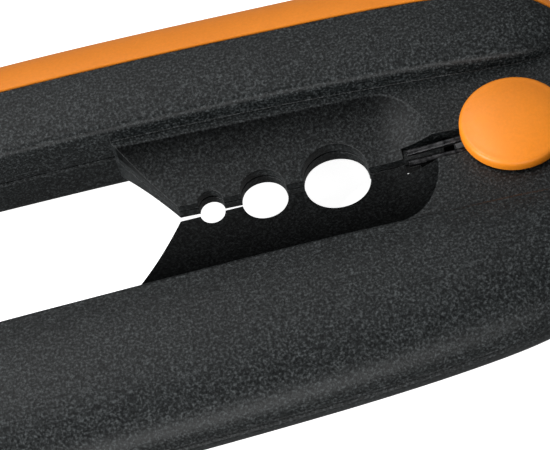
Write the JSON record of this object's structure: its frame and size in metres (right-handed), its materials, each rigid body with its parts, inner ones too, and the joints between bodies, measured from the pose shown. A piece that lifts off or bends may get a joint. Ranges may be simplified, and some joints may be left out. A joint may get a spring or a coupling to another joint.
{
  "type": "wire stripper",
  "caption": "Spring-opened hand snips with graded stripping holes between the grips and the pivot, and a swinging catch at the butt.",
  "frame": {"origin": "on the pivot axis, at the flat back of the rear pivot cap", "axes": "+X runs to the blade tips, +Y to the handle with the coloured strip, +Z from the back to the front along the pivot axis"},
  "size_m": [0.1917, 0.0631, 0.0144],
  "materials": {
    "black_nylon": "fine moulded grain",
    "orange_plastic": "smooth satin",
    "blade_steel": "ground",
    "dark_steel": "oiled dark",
    "bronze": "turned"
  },
  "bodies": {
    "lower_arm": {"lower_handle_front": "black_nylon", "lower_handle_back": "black_nylon", "lower_arm_blade": "blade_steel", "lower_handle_screw_1": "dark_steel", "lower_handle_screw_2": "dark_steel", "lower_handle_screw_3": "dark_steel", "pivot_bolt": "dark_steel", "pivot_nut": "dark_steel", "front_washer": "bronze", "back_washer": "bronze", "pivot_cap": "orange_plastic", "rear_pivot_cap": "black_nylon", "torsion_spring": "dark_steel", "lock_pin": "dark_steel"},
    "upper_arm": {"upper_handle_front": "black_nylon", "upper_handle_back": "black_nylon", "upper_arm_blade": "blade_steel", "upper_grip_strip": "orange_plastic", "upper_handle_screw_1": "dark_steel", "upper_handle_screw_2": "dark_steel", "upper_handle_screw_3": "dark_steel", "lock_stud": "dark_steel"},
    "lock_catch": {"lock_catch": "orange_plastic"}
  },
  "joints": [
    {"name": "arm_pivot", "type": "hinge", "parent": "lower_arm", "child": "upper_arm", "pos_m": [0, 0, 0.0072], "axis": [0, 0, -1], "range_deg": [-2.4, 24], "stiffness_Nm_per_rad": 0.4, "springref_deg": 25.78},
    {"name": "lock_swing", "type": "hinge", "parent": "lower_arm", "child": "lock_catch", "pos_m": [-0.12363, -0.01726, 0.0072], "axis": [0, 0, 1], "range_deg": [0, 90]}
  ]
}
